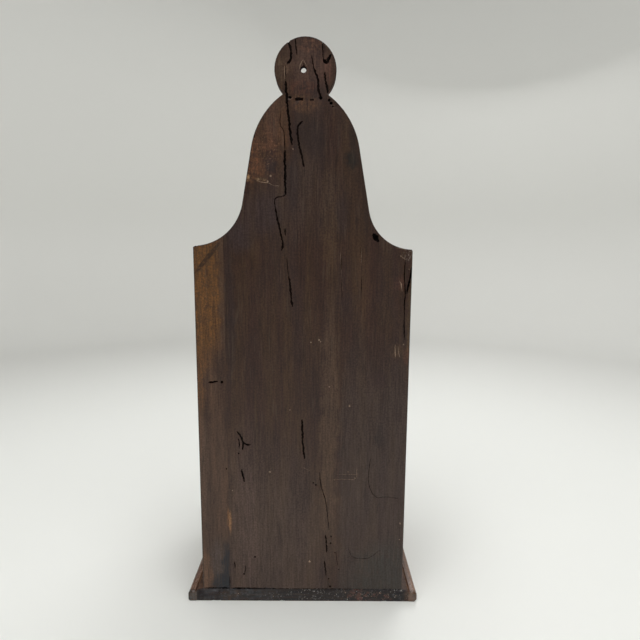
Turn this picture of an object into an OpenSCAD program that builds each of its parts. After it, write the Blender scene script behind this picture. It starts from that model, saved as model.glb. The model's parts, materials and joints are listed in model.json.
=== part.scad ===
// Antique wall box for flour: a tall back board with a bell-shaped crest and a
// pierced round finial, a plain box in front of it, a sloping hinged lid and a
// moulded base. Millimetres, Z up, origin under the middle of the base, with the
// front towards -Y and the wall behind +Y.

/* [Back board] */
// Width of the back board and of the box
back_w = 204; // [180:1:230]
// Thickness of the back board
back_t = 10; // [8:0.5:14]
// Height of the right shoulder above the base board
shoulder_h = 348; // [300:1:400]
// Fall of the left shoulder below the right, as the coves were cut by eye
shoulder_fall = 2.4; // [0:0.2:5]
// Width of the plank that is edge-glued to the main board
strip_w = 28; // [15:1:38]
// Depth of the rebates in the back board that take the sides
rebate_d = 4; // [2:0.5:6]
// Thickness of the glue line between a side and its rebate
glue_line = 0.05; // [0.02:0.01:0.2]

/* [Crest] */
// Width of the bell at the tops of its straight flanks
bell_w = 97.8; // [86:0.2:106]
// Height of those tops above the right shoulder
flank_h = 88.4; // [70:0.2:106]
// Lean of the flanks from upright, in degrees
flank_lean = 10; // [6:0.5:14]
// Radius of the bell's rounded top
bell_r = 69.5; // [60:0.5:85]
// How far the crest stands off the middle of the board, as it was cut by eye
crest_off = -2; // [-4:0.1:4]
// Radius of the round finial
finial_r = 27.5; // [22:0.5:34]
// How far the finial stands off the crest's own middle
finial_off = -0.1; // [-2:0.1:2]
// How far the finial sinks into the bell's point
finial_sink = 16.6; // [10:0.2:22]
// Radius of the hanging hole
hang_hole_r = 2.8; // [2:0.1:5]
// How far the hanging hole lies off the middle of the finial
hang_hole_off = 1.8; // [-5:0.1:5]
// Radius of the slanting bore that a nail has worn through the hanging hole
hang_wear_r = 2.4; // [1.5:0.1:2.5]
// Rise of that bore towards the front, in degrees
hang_wear_rise = 14; // [10:1:30]

/* [Carcass] */
// Depth of the box from its front face to the wall
box_d = 150; // [120:1:200]
// Thickness of the two sides
side_t = 10; // [8:0.5:14]
// Thickness of the front board
front_t = 10; // [8:0.5:14]

/* [Base] */
// Thickness of the base board
base_t = 13.5; // [12:0.5:20]
// How far the base board shows past the box
base_margin = 7; // [4:0.5:12]
// Fall of that margin towards its edge
margin_fall = 1.5; // [0.5:0.1:3]
// Width of the moulding round the base
mould_w = 8.5; // [7:0.5:14]
// Height of the moulding
mould_h = 11.5; // [9.5:0.5:12]
// Radius of the moulding's rounded nose
nose_r = 4; // [2:0.5:6]
// Radius of the moulding's lower edge
foot_r = 2; // [0.5:0.5:3]
// Width and depth of the quirk beside the moulding
quirk = 1; // [0.5:0.1:1.5]

/* [Lid] */
// Thickness of the lid
lid_t = 10; // [9:0.5:14]
// Fall of the lid towards the front, in degrees
lid_slope = 25; // [15:1:35]
// How far the top of the hinge rail lies below the shoulders
lid_drop = 7; // [4:0.5:20]
// Width of the fixed rail that the lid is hinged to
rail_w = 30; // [26:0.5:45]
// Gap between the rail and the lid
lid_gap = 1; // [0.6:0.1:2]
// Air between the closed lid and the edges that it rests on
lid_seat_gap = 0.2; // [0.1:0.1:1]
// Overhang of the lid past each side
lid_side_over = 5; // [2:0.5:10]
// Overhang of the lid past the front
lid_front_over = 8; // [4:0.5:12]
// Radius of the thumb moulding round the lid
lid_mould_r = 5; // [3:0.5:6]
// Step down at the inner edge of that moulding
lid_step = 1; // [0.5:0.1:2]

/* [Hinges] */
// Length of each butt hinge
hinge_len = 40; // [30:1:50]
// Distance from the box's side to the middle of a hinge
hinge_inset = 42; // [38:1:55]
// Width of a leaf, from the pin outwards
leaf_w = 16; // [14:0.5:20]
// Thickness of a leaf
leaf_t = 1.4; // [1:0.1:1.8]
// Outer radius of the knuckles
knuckle_r = 2.6; // [2.2:0.1:3.2]
// Gap between neighbouring knuckles
knuckle_gap = 0.2; // [0.1:0.05:0.5]
// Radius of the hinge pin
pin_r = 1.25; // [1:0.05:1.5]
// Running clearance round the pin
pin_clear = 0.05; // [0.02:0.01:0.1]
// Clearance of the leaves in their recesses
leaf_clear = 0.1; // [0.05:0.05:0.3]
// Clearance between a knuckle and what lies beside it
knuckle_clear = 0.4; // [0.3:0.1:0.8]
// Length of the hinge screws
screw_len = 8.8; // [6:0.1:9]
// Radius of a screw's head
screw_head_r = 2.7; // [2.2:0.1:3.2]
// Radius of a screw's shank
screw_r = 1.3; // [1:0.1:1.6]
// Width of a screw's slot
screw_slot_w = 0.7; // [0.5:0.1:1]
// Depth of a screw's slot
screw_slot_d = 0.6; // [0.3:0.1:0.9]
// Distance of the screws from the ends of a hinge
screw_end = 8; // [6:0.5:10]
// Distance of the screws from the outer edge of a leaf
screw_edge = 6; // [4:0.5:7]

/* [Nails] */
// Width of a cut nail under its head
nail_w = 2.4; // [1.5:0.1:3]
// Width of a cut nail at its point
nail_tip = 1; // [0.5:0.1:1.5]
// Thickness of a cut nail
nail_t = 1.6; // [1:0.1:2]
// Width of a cut nail's head
nail_head_w = 4.2; // [3.2:0.1:5]
// Thickness of a cut nail's head
nail_head_t = 1; // [0.6:0.1:1.5]
// Clearance round a nail's shank
nail_clear = 0.05; // [0.02:0.01:0.1]
// Length of the nails through the front
front_nail_len = 32; // [24:1:40]
// Number of nails down each side of the front
front_nail_count = 4; // [3:1:6]
// Distance from the ends of the front to its first and last nails
front_nail_end = 28; // [24:1:40]
// Length of the nails up through the base
base_nail_len = 34; // [28:1:40]
// How far the heads of the base nails lie above the foot
base_nail_sink = 0.5; // [0.2:0.1:1.5]
// Distance from the corners of the box to the nearest base nails
base_nail_end = 40; // [35:1:45]
// Length of the nails through the hinge rail
rail_nail_len = 25; // [18:1:28]
// Distance of the rail's nails from the back board
rail_nail_back = 13; // [12:0.5:14]
// Distance of the rail's nails from its front edge
rail_nail_edge = 7; // [6:0.5:8]
// Length of the brads through the moulding
brad_len = 15; // [11:0.5:18]
// Width of a brad and of its head
brad_w = 1.2; // [0.8:0.1:1.6]
// Height of the brads above the foot
brad_h = 5; // [4:0.5:6]
// Distance of the outer brads from the ends of a moulding
brad_end = 24; // [18:1:30]

/* [Hidden] */
$fn = 96;
past = 1; // how far a cutter runs past the face it opens
blend = 0.02; // how far a flank lies inside the two arcs that it runs between
flank_tail = 10; // how far a flank and the bell run on inside the wood
knuckles = 5; // knuckles on a hinge, shared by its two leaves
rows = 3; // nails or brads in a row, one at each end and one in the middle

// Plan of the box: the base is centred on the origin
half_w = back_w / 2;
base_over = base_margin + mould_w;
base_half_w = half_w + base_margin;
foot_half_w = half_w + base_over;
wall_y = (box_d + base_over) / 2;
inner_y = wall_y - back_t;
front_y = wall_y - box_d;
base_front_y = front_y - base_margin;
foot_front_y = front_y - base_over;

// Outline of the crest, from its own middle and the right shoulder's line: a cove up from
// each shoulder, a leaning flank and the bell's arc, each running smoothly into the next
shoulder_z = base_t + shoulder_h;
flank_out = [cos(flank_lean), sin(flank_lean)];
flank_down = [sin(flank_lean), -cos(flank_lean)];
flank_top = [bell_w / 2, flank_h];
bell_mid = flank_top - bell_r * flank_out;
bell_point_h = bell_mid.y + sqrt(bell_r ^ 2 - bell_mid.x ^ 2);
finial_h = bell_point_h - finial_sink + finial_r;
finial_z = shoulder_z + finial_h;
hang_x = crest_off + finial_off + hang_hole_off;
strip_x = half_w - strip_w;

// The slope: its top face meets the back board at slope_z, and the seat lies under the lid
slope_z = shoulder_z - lid_drop;
seat_d = lid_t + lid_seat_gap;
lid_back = rail_w + lid_gap;
lid_front = (inner_y - front_y + lid_front_over) / cos(lid_slope);
lid_half_w = half_w + lid_side_over;

// The hinges: the leaves lie flush, so the pin stands a little over the slope
hinge_x = half_w - hinge_inset;
hinge_run = rail_w + lid_gap / 2;
axis_rise = knuckle_r - leaf_t;
knuckle_pitch = hinge_len / knuckles;
leaf_start = knuckle_r + knuckle_clear;

// Colours of the stained wood and of the metal
wood = "#3d312c";
pale_wood = "#5f4128";
dark_wood = "#2c2725";
brass = "#a5854c";
iron = "#33302e";

echo(hinge_pin_y_z = slope_point(hinge_run, -axis_rise));
echo(hanging_hole_x_z = [hang_x, finial_z], wall_y = wall_y);

// Width left for a cove, from the crest's middle to the board's edge, at one end or the other
function cove_reach(end) = half_w - end * crest_off;

// Height of a shoulder over the right one
function shoulder_rise(end) = end < 0 ? -shoulder_fall : 0;

// Radius of the cove that fills that width between the shoulder and the flank
function cove_r(end) =
    ((cove_reach(end) - flank_top.x) * flank_out.x - (flank_top.y - shoulder_rise(end)) * flank_out.y)
    / (1 - flank_out.y);

// Middle of the cove's arc, which leaves the shoulder level
function cove_mid(end) = [cove_reach(end), shoulder_rise(end) + cove_r(end)];

// Where the flank leaves the cove
function flank_foot(end) = cove_mid(end) - cove_r(end) * flank_out;

// A point of the slope in the side view: run along it from the back board, depth below it
function slope_point(run, depth) = [
    inner_y - run * cos(lid_slope) + depth * sin(lid_slope),
    slope_z - run * sin(lid_slope) - depth * cos(lid_slope)
];

// Height of the seat under the lid at a place in the depth of the box
function seat_z(y) = slope_z - seat_d / cos(lid_slope) + (y - inner_y) * tan(lid_slope);

// Places of a row: one at each end and the rest evenly between
function spread(from, to, count) = [for (i = [0 : count - 1]) from + (to - from) * i / (count - 1)];

// Moves children to the slope: -Y runs down it towards the front, Z is square to it
module on_slope() {
    translate([0, inner_y, slope_z]) rotate([lid_slope, 0, 0]) children();
}

// Moves children to a hinge's pin: +Y is the rail's side, -Y is the lid's
module at_hinge(x) {
    on_slope() translate([x, -hinge_run, axis_rise]) children();
}

// A board whose shape is drawn in the side view, from x_low to x_high
module side_view_board(x_low, x_high) {
    translate([x_low, 0, 0]) rotate([90, 0, 90]) linear_extrude(x_high - x_low) children();
}

// A board whose shape is drawn as seen from the front, from y_low to y_high
module front_view_board(y_low, y_high) {
    translate([0, y_high, 0]) rotate([90, 0, 0]) linear_extrude(y_high - y_low) children();
}

// Fastenings

// A cut nail, its head's top at the origin and its point down; grow opens its hole
module cut_nail(len, grow = 0) {
    rotate([90, 0, 0]) linear_extrude(nail_t + 2 * grow, center = true) polygon([
        [-nail_w / 2 - grow, 0], [nail_w / 2 + grow, 0],
        [nail_tip / 2 + grow, -len - grow], [-nail_tip / 2 - grow, -len - grow]
    ]);
    head = nail_head_w + 2 * grow;
    over = grow > 0 ? past : 0;
    translate([-head / 2, -head / 2, -nail_head_t]) cube([head, head, nail_head_t + over]);
}

// A brad, its end flush at the origin and its point down; grow opens its hole
module brad(grow = 0) {
    width = brad_w + 2 * grow;
    over = grow > 0 ? past : 0;
    translate([-width / 2, -width / 2, -brad_len - grow]) cube([width, width, brad_len + grow + over]);
}

// A countersunk wood screw, its head's top at the origin; grow opens its hole
module wood_screw(grow = 0) {
    neck = screw_head_r - screw_r;
    rotate_extrude() polygon([
        [0, 0], [screw_head_r + grow, 0], [screw_r + grow, -neck],
        [screw_r + grow, -screw_len + screw_r], [0, -screw_len - grow]
    ]);
    if (grow > 0) cylinder(r = screw_head_r + grow, h = past);
}

// Places of the nails through the front into the sides
module front_nail_places() {
    low = base_t + front_nail_end;
    high = seat_z(front_y) - front_nail_end;
    for (end = [-1, 1], z = spread(low, high, front_nail_count))
        translate([end * (half_w - side_t / 2), front_y, z]) rotate([90, 90, 0]) children();
}

// Places of the nails up through the base into the sides, the front and the back
module base_nail_places() {
    near = front_y + base_nail_end;
    far = wall_y - base_nail_end;
    for (end = [-1, 1], y = spread(near, far, rows))
        translate([end * (half_w - side_t / 2), y, base_nail_sink]) rotate([180, 0, 90]) children();
    low = -half_w + base_nail_end;
    high = strip_x - base_nail_end;
    for (y = [front_y + front_t / 2, wall_y - back_t / 2], x = spread(low, high, rows))
        translate([x, y, base_nail_sink]) rotate([180, 0, 0]) children();
}

// Places of the nails through the hinge rail into the sides
module rail_nail_places() {
    for (end = [-1, 1], run = [rail_nail_back, rail_w - rail_nail_edge])
        on_slope() translate([end * (half_w - side_t / 2), -run, 0]) rotate([0, 0, 90]) children();
}

// Places of the brads through the moulding into the base board
module brad_places() {
    for (end = [-1, 1], y = spread(foot_front_y + brad_end, wall_y - brad_end, rows))
        translate([end * foot_half_w, y, brad_h]) rotate([0, end * 90, 0]) children();
    for (x = spread(-foot_half_w + brad_end, foot_half_w - brad_end, rows))
        translate([x, foot_front_y, brad_h]) rotate([90, 0, 0]) children();
}

// Places of the screws in the leaves on one side of the hinges: 1 is the rail, -1 the lid
module screw_places(side) {
    for (hinge = [-1, 1], end = [-1, 1])
        at_hinge(hinge * hinge_x)
            translate([end * (hinge_len / 2 - screw_end), side * (leaf_w - screw_edge), -axis_rise])
                children();
}

// Carcass

// Outline of the back as seen from the front, hole included
module back_outline() {
    difference() {
        union() {
            shouldered_half(-1);
            shouldered_half(1);
            translate([crest_off, shoulder_z]) crest();
        }
        translate([hang_x, finial_z]) circle(hang_hole_r);
    }
}

// Half of the board up to the foot of its flank, with the cove over its shoulder
module shouldered_half(end) {
    mirror([end > 0 ? 0 : 1, 0]) difference() {
        translate([-past, base_t]) square([half_w + past, shoulder_h + flank_foot(end).y]);
        translate([half_w, shoulder_z + cove_mid(end).y]) circle(cove_r(end));
    }
}

// The crest over the shoulders: two flanks, the bell and the finial
module crest() {
    flanks();
    bell_half();
    mirror([1, 0]) bell_half();
    translate([finial_off, finial_h]) circle(finial_r);
}

// The straight flanks between the coves and the bell
module flanks() {
    high = flank_top - blend * flank_out;
    tail = blend * flank_out + flank_tail * flank_down;
    low_left = flank_foot(-1) + tail;
    low_right = flank_foot(1) + tail;
    polygon([[-low_left.x, low_left.y], low_right, high, [-high.x, high.y]]);
}

// One half of the bell above its flanks: its arc swings from past the middle
module bell_half() {
    intersection() {
        translate(bell_mid) circle(bell_r);
        translate([-past, flank_top.y - flank_tail]) square(2 * bell_r);
    }
}

// The bore that a slanting nail has worn, from the hanging hole's middle at the wall
module nail_wear() {
    translate([hang_x, wall_y, finial_z]) rotate([90 - hang_wear_rise, 0, 0])
        translate([0, 0, -past]) cylinder(r = hang_wear_r, h = 2 * back_t);
}

// The back at its full thickness, rebated for the sides and holed for the nails
module back_blank() {
    difference() {
        front_view_board(inner_y, wall_y) back_outline();
        nail_wear();
        side_blank(-1, glue_line);
        side_blank(1, glue_line);
        base_nail_places() cut_nail(base_nail_len, nail_clear);
    }
}

// The part of the back on one side of the joint between its two planks
module back_plank(x_low, x_high) {
    intersection() {
        back_blank();
        front_view_board(inner_y - past, wall_y + past)
            translate([x_low, 0]) square([x_high - x_low, finial_z + finial_r + past]);
    }
}

module back_board() {
    color(wood) back_plank(-half_w - past, strip_x);
}

module back_strip() {
    color(pale_wood) back_plank(strip_x, half_w + past);
}

// A side before its nail holes: its top falls with the lid and its back edge fills the rebate;
// grow opens the rebate
module side_blank(end, grow = 0) {
    back_y = inner_y + rebate_d + grow;
    edge_y = front_y + front_t;
    over = grow > 0 ? past : 0;
    inside = half_w - side_t - grow;
    outside = half_w + over;
    side_view_board(end > 0 ? inside : -outside, end > 0 ? outside : -inside) polygon([
        [edge_y, base_t - over], [back_y, base_t - over],
        [back_y, seat_z(back_y) + grow], [edge_y, seat_z(edge_y) + grow]
    ]);
}

module side_board(end) {
    color(wood) difference() {
        side_blank(end);
        front_nail_places() cut_nail(front_nail_len, nail_clear);
        base_nail_places() cut_nail(base_nail_len, nail_clear);
        rail_nail_places() cut_nail(rail_nail_len, nail_clear);
    }
}

module front_board() {
    edge_y = front_y + front_t;
    color(wood) difference() {
        side_view_board(-half_w, half_w) polygon([
            [front_y, base_t], [edge_y, base_t], [edge_y, seat_z(edge_y)], [front_y, seat_z(front_y)]
        ]);
        front_nail_places() cut_nail(front_nail_len, nail_clear);
        base_nail_places() cut_nail(base_nail_len, nail_clear);
    }
}

// The fixed rail at the head of the slope, its back edge upright against the back board
module hinge_rail() {
    color(wood) difference() {
        side_view_board(-half_w, half_w) polygon([
            [inner_y, slope_z], [inner_y, seat_z(inner_y)],
            slope_point(rail_w, seat_d), slope_point(rail_w, 0)
        ]);
        hinge_recesses(1);
        screw_places(1) wood_screw(nail_clear);
        rail_nail_places() cut_nail(rail_nail_len, nail_clear);
    }
}

// Base

// The base board: its margin past the box falls to the edge on three sides
module base_board() {
    top_d = wall_y - base_front_y;
    color(wood) difference() {
        translate([-base_half_w, base_front_y, 0]) cube([2 * base_half_w, top_d, base_t]);
        for (end = [0, 1]) mirror([end, 0, 0])
            front_view_board(base_front_y - past, wall_y + past) margin_cut(base_half_w);
        side_view_board(-base_half_w - past, base_half_w + past) margin_cut(-base_front_y, -1);
        base_nail_places() cut_nail(base_nail_len, nail_clear);
        brad_places() brad(nail_clear);
    }
}

// The wedge that is planed off the margin, up to an edge at edge
module margin_cut(edge, turn = 1) {
    slope = margin_fall / base_margin;
    polygon([
        [turn * (edge - base_margin), base_t],
        [turn * (edge + past), base_t - margin_fall - slope * past],
        [turn * (edge + past), base_t + past],
        [turn * (edge - base_margin), base_t + past]
    ]);
}

// Section of the moulding: the base board's edge is at 0 and the nose at mould_w
module moulding_section() {
    difference() {
        square([mould_w, mould_h]);
        translate([-past, mould_h - quirk]) square([past + quirk, quirk + past]);
        translate([mould_w - nose_r, mould_h - nose_r]) round_corner(nose_r, 1);
        translate([mould_w - foot_r, foot_r]) round_corner(foot_r, -1);
    }
}

// What is cut from a corner to leave a quarter round: up is 1 at the top and -1 at the foot
module round_corner(r, up) {
    mirror([0, up > 0 ? 0 : 1]) difference() {
        square(r + past);
        circle(r);
    }
}

// A length of moulding along one side, mitred where it meets the front
module side_moulding(end) {
    color(wood) mirror([end > 0 ? 0 : 1, 0, 0]) difference() {
        intersection() {
            front_view_board(foot_front_y, wall_y) translate([base_half_w, 0]) moulding_section();
            linear_extrude(mould_h + past) polygon([
                [base_half_w, wall_y], [base_half_w, base_front_y],
                [foot_half_w, foot_front_y], [foot_half_w, wall_y]
            ]);
        }
        brad_places() brad(nail_clear);
    }
}

module front_moulding() {
    color(wood) difference() {
        intersection() {
            side_view_board(-foot_half_w, foot_half_w)
                translate([base_front_y, 0]) mirror([1, 0]) moulding_section();
            linear_extrude(mould_h + past) polygon([
                [-base_half_w, base_front_y], [base_half_w, base_front_y],
                [foot_half_w, foot_front_y], [-foot_half_w, foot_front_y]
            ]);
        }
        brad_places() brad(nail_clear);
    }
}

// Lid

// The lid, with a stepped thumb moulding on its front and ends
module lid_board() {
    length = lid_front - lid_back;
    color(wood) difference() {
        on_slope() difference() {
            translate([-lid_half_w, -lid_front, -lid_t]) cube([2 * lid_half_w, length, lid_t]);
            for (end = [0, 1]) mirror([end, 0, 0])
                front_view_board(-lid_front - past, -lid_back + past)
                    translate([lid_half_w - lid_mould_r, 0]) thumb_cut();
            side_view_board(-lid_half_w - past, lid_half_w + past)
                translate([-lid_front + lid_mould_r, 0]) mirror([1, 0]) thumb_cut();
        }
        hinge_recesses(-1);
        screw_places(-1) wood_screw(nail_clear);
    }
}

// What is planed off an edge to leave the thumb moulding, from its step outwards
module thumb_cut() {
    drop = lid_step + lid_mould_r;
    difference() {
        translate([0, -drop]) square([lid_mould_r + past, drop + past]);
        translate([0, -drop]) circle(lid_mould_r);
    }
}

// Hinges

// Recesses in the wood for the leaves and knuckles: 1 is the rail's side, -1 the lid's
module hinge_recesses(side) {
    length = hinge_len + 2 * leaf_clear;
    trough = hinge_len + 2 * knuckle_clear;
    for (hinge = [-1, 1]) at_hinge(hinge * hinge_x) {
        mirror([0, side > 0 ? 0 : 1, 0]) translate([-length / 2, -past, -knuckle_r])
            cube([length, leaf_w + leaf_clear + past, knuckle_r + past]);
        rotate([0, 90, 0]) cylinder(r = leaf_start, h = trough, center = true);
    }
}

// A leaf: 1 lies on the rail and has the outer knuckles, -1 lies on the lid between them
module hinge_leaf(side) {
    first = side > 0 ? 0 : 1;
    bore_r = pin_r + pin_clear;
    color(brass) difference() {
        mirror([0, side > 0 ? 0 : 1, 0]) union() {
            translate([-hinge_len / 2, leaf_start, -knuckle_r])
                cube([hinge_len, leaf_w - leaf_start, leaf_t]);
            for (i = [first : 2 : knuckles - 1]) knuckle(i);
        }
        rotate([0, 90, 0]) cylinder(r = bore_r, h = hinge_len + 2 * past, center = true);
        for (end = [-1, 1])
            translate([end * (hinge_len / 2 - screw_end), side * (leaf_w - screw_edge), -axis_rise])
                wood_screw(nail_clear);
    }
}

// One knuckle, rolled up from the leaf's underside
module knuckle(i) {
    length = knuckle_pitch - knuckle_gap;
    translate([-hinge_len / 2 + i * knuckle_pitch + knuckle_gap / 2, 0, 0]) {
        rotate([0, 90, 0]) cylinder(r = knuckle_r, h = length);
        translate([0, 0, -knuckle_r]) cube([length, leaf_start, leaf_t]);
    }
}

module hinge_pin() {
    color(brass) rotate([0, 90, 0]) cylinder(r = pin_r, h = hinge_len, center = true);
}

// The screws of one side of the hinges, slotted across
module leaf_screws(side) {
    slot = [2 * (screw_head_r + past), screw_slot_w, 2 * screw_slot_d];
    color(brass) screw_places(side) difference() {
        wood_screw();
        cube(slot, center = true);
    }
}

back_board();
back_strip();
side_board(-1);  // left_side
side_board(1);  // right_side
front_board();
hinge_rail();
base_board();
side_moulding(-1);  // left_base_moulding
side_moulding(1);  // right_base_moulding
front_moulding();  // front_base_moulding
lid_board();
at_hinge(-hinge_x) hinge_leaf(1);  // left_rail_leaf
at_hinge(hinge_x) hinge_leaf(1);  // right_rail_leaf
at_hinge(-hinge_x) hinge_leaf(-1);  // left_lid_leaf
at_hinge(hinge_x) hinge_leaf(-1);  // right_lid_leaf
at_hinge(-hinge_x) hinge_pin();  // left_hinge_pin
at_hinge(hinge_x) hinge_pin();  // right_hinge_pin
leaf_screws(1);  // rail_leaf_screws
leaf_screws(-1);  // lid_leaf_screws
color(iron) front_nail_places() cut_nail(front_nail_len);  // front_nails
color(iron) base_nail_places() cut_nail(base_nail_len);  // base_nails
color(iron) rail_nail_places() cut_nail(rail_nail_len);  // rail_nails
color(iron) brad_places() brad();  // moulding_brads
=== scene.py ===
import json
import math
import random

import bmesh
import bpy
from mathutils import Matrix, Vector, noise

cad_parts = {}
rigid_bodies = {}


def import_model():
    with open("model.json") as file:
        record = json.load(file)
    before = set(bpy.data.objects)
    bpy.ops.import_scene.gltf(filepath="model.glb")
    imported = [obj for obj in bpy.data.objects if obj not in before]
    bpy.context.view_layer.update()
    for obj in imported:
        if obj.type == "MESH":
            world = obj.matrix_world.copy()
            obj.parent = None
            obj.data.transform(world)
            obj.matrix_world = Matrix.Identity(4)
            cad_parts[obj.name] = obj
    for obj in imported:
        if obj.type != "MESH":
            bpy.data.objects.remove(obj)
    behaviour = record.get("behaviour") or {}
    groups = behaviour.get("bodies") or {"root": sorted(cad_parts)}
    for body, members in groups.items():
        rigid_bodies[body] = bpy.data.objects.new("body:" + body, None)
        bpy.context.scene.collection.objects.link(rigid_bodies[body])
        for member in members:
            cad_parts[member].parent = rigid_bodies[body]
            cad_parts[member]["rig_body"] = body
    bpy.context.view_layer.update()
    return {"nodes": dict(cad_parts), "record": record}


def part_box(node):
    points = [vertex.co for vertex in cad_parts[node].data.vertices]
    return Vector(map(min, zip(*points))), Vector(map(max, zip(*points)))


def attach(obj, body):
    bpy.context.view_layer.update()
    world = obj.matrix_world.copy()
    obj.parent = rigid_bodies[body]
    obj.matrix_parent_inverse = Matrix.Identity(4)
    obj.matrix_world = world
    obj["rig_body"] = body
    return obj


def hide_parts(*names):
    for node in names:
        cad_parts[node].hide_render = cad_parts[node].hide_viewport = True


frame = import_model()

mm = 0.001
scene = bpy.context.scene


# Camera

photoCamera = {
    "lens": 25.64, "sensor": 36,  # mm
    "nearest": 10,  # mm, what lies nearer isn't seen
    "place": (-15.55, 510.26, 350.25),  # mm, behind the box and a little above its middle
    "turn": 179.909,  # degrees round from looking along +Y
    "tip": 7.662,  # degrees below level
    "roll": 0.345,  # degrees
}


def setCamera():
    lens = bpy.data.cameras.new("photo_camera")
    lens.lens = photoCamera["lens"]
    lens.sensor_width = photoCamera["sensor"]
    lens.clip_start = photoCamera["nearest"] * mm
    camera = bpy.data.objects.new("photo_camera", lens)
    scene.collection.objects.link(camera)
    turn = Matrix.Rotation(math.radians(photoCamera["turn"]), 4, "Z")
    tip = Matrix.Rotation(math.radians(90 - photoCamera["tip"]), 4, "X")
    roll = Matrix.Rotation(math.radians(photoCamera["roll"]), 4, "Z")
    place = Matrix.Translation(Vector(photoCamera["place"]) * mm)
    camera.matrix_world = place @ turn @ tip @ roll
    scene.camera = camera
    print("camera set")


# Node helpers

def toLight(colour):
    # red, green and blue as the eye reads them, 0 to 255, turned to the light values that shaders take
    if isinstance(colour, bpy.types.NodeSocket):
        return colour
    parts = [value / 255 for value in colour]
    return (*[p / 12.92 if p <= 0.04045 else ((p + 0.055) / 1.055) ** 2.4 for p in parts], 1)


def setInputs(tree, node, inputs):
    for name, value in inputs.items():
        if isinstance(value, bpy.types.NodeSocket):
            tree.links.new(value, node.inputs[name])
        else:
            node.inputs[name].default_value = value


def addNode(tree, kind, inputs, output=0, **settings):
    # gives what comes out of the new node
    node = tree.nodes.new(kind)
    for name, value in settings.items():
        setattr(node, name, value)
    setInputs(tree, node, inputs)
    return node.outputs[output]


def calc(tree, operation, first, second=0.0, third=0.0):
    return addNode(tree, "ShaderNodeMath", {0: first, 1: second, 2: third}, operation=operation)


def spread(tree, value, low, high, toLow=0.0, toHigh=1.0):
    inputs = {"Value": value, "From Min": low, "From Max": high, "To Min": toLow, "To Max": toHigh}
    return addNode(tree, "ShaderNodeMapRange", inputs, interpolation_type="SMOOTHSTEP")


def mixTones(tree, share, first, second):
    inputs = {0: share, 6: toLight(first), 7: toLight(second)}
    return addNode(tree, "ShaderNodeMix", inputs, 2, data_type="RGBA")


def placeOf(tree):
    return addNode(tree, "ShaderNodeTexCoord", {}, "Object")


def lengthOf(tree, vector):
    return addNode(tree, "ShaderNodeVectorMath", {0: vector}, "Value", operation="LENGTH")


def cloudOf(tree, coords, size, detail=3.0, rough=0.55, warp=0.0):
    # size is how wide a blotch is, in mm
    inputs = {"Vector": coords, "Scale": 1 / (size * mm), "Detail": detail, "Roughness": rough,
              "Distortion": warp}
    return addNode(tree, "ShaderNodeTexNoise", inputs, noise_dimensions="3D")


def reliefOf(tree, height, share, depth):
    return addNode(tree, "ShaderNodeBump", {"Height": height, "Strength": share, "Distance": depth * mm})


def newFinish(name):
    finish = bpy.data.materials.new(name)
    finish.use_nodes = True
    tree = finish.node_tree
    shader = tree.nodes["Principled BSDF"]
    return finish, tree, shader


def boardCoords(tree, look):
    # turned into the board's own directions, and shifted so that the boards differ in grain
    place = placeOf(tree)
    turn = [math.radians(look["tilt"]), 0, 0]
    shift = [value * mm for value in look["shift"]]
    return place, addNode(tree, "ShaderNodeMapping", {"Vector": place, "Rotation": turn, "Location": shift})


def alongGrain(tree, coords, axis, stretch):
    scale = [1.0, 1.0, 1.0]
    scale["XYZ".index(axis)] = 1 / stretch
    return addNode(tree, "ShaderNodeMapping", {"Vector": coords, "Scale": scale})


# inner is the share of its reach that a patch fills evenly, broken is how much the grain breaks it up
plainPatch = {"inner": 0.35, "broken": 0.5, "lean": 0, "steady": False}


def patchAt(at, reach, share, colour, **more):
    return {**plainPatch, "at": at, "reach": reach, "share": share, "colour": colour, **more}


def patchShare(tree, coords, patch):
    # 1 in the middle of a soft oval patch, 0 outside it
    at, reach = [[value * mm for value in patch[name]] for name in ("at", "reach")]
    lean = (0, math.radians(patch["lean"]), 0)
    inputs = {"Vector": coords, "Location": at, "Scale": reach, "Rotation": lean}
    near = addNode(tree, "ShaderNodeMapping", inputs, vector_type="TEXTURE")
    share = spread(tree, lengthOf(tree, near), patch["inner"], 1.0, patch["share"], 0.0)
    if "ramp" in patch:
        # a stain that stops at a line, or fades with height
        height = addNode(tree, "ShaderNodeSeparateXYZ", {0: coords}, "Z")
        off, on = patch["ramp"]
        share = calc(tree, "MULTIPLY", share, spread(tree, height, off * mm, on * mm))
    return share


def wandering(tree, place, board, look):
    # shakes the outline of a stain, but not its depth into the board
    inputs = {"Vector": board, "Scale": 1 / (look["driftWidth"] * mm), "Detail": 5.0, "Roughness": 0.6}
    drift = addNode(tree, "ShaderNodeTexNoise", inputs, "Color")
    drift = addNode(tree, "ShaderNodeVectorMath", {0: drift, 1: (-0.5, -0.5, -0.5)})
    reach = look["drift"] * mm
    inputs = {0: drift, 1: (reach, 0, reach), 2: place}
    return addNode(tree, "ShaderNodeVectorMath", inputs, operation="MULTIPLY_ADD")


def grainPatterns(tree, board, look):
    # the bands, threads, clouds, specks and pores that old wood shows
    stretches = ("bandStretch", "threadStretch", "cloudStretch", "poreStretch")
    bands, threads, clouds, pores = [alongGrain(tree, board, look["grain"], look[name]) for name in stretches]
    return {
        "band": cloudOf(tree, bands, look["bandWidth"], 3.0, 0.55, 0.4),
        "thread": cloudOf(tree, threads, look["threadWidth"], 3.0, 0.7),
        "silver": cloudOf(tree, threads, look["silverWidth"], 1.0, 0.5),
        "cloud": cloudOf(tree, clouds, look["cloudWidth"], 4.0, 0.6, 0.3),
        "speck": cloudOf(tree, board, look["speckWidth"], 3.0, 0.7),
        "pore": cloudOf(tree, pores, look["poreWidth"], 2.0, 0.5),
    }


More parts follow.
